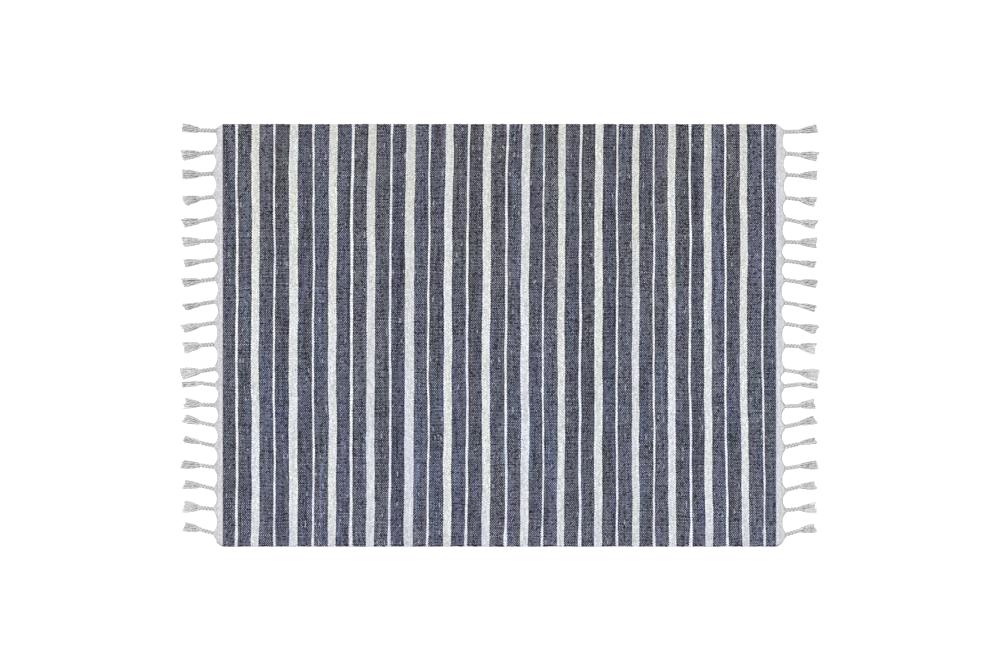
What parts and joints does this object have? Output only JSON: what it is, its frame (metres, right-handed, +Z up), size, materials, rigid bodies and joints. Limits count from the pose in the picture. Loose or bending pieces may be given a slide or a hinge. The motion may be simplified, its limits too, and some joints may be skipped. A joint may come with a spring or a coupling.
{
  "type": "flat-woven striped rug with tassel fringe",
  "caption": "Flat cotton rug with narrow dark and white cross stripes, a plain scalloped band at each short end and a row of plaited tassels with loose ends.",
  "frame": {"origin": "on the floor under the middle of the rug, fringes included", "axes": "+X along the rug's length from one fringe to the other, +Y across it from selvedge to selvedge, +Z up out of the floor"},
  "size_m": [1.806, 1.2001, 0.008],
  "materials": {
    "striped_weave": "matt flat weave in slate blue and off-white stripes",
    "undyed_yarn": "matt undyed cotton yarn"
  },
  "bodies": {
    "root": {"striped_cloth": "striped_weave", "left_fringe": "undyed_yarn", "right_fringe": "undyed_yarn"}
  },
  "joints": []
}
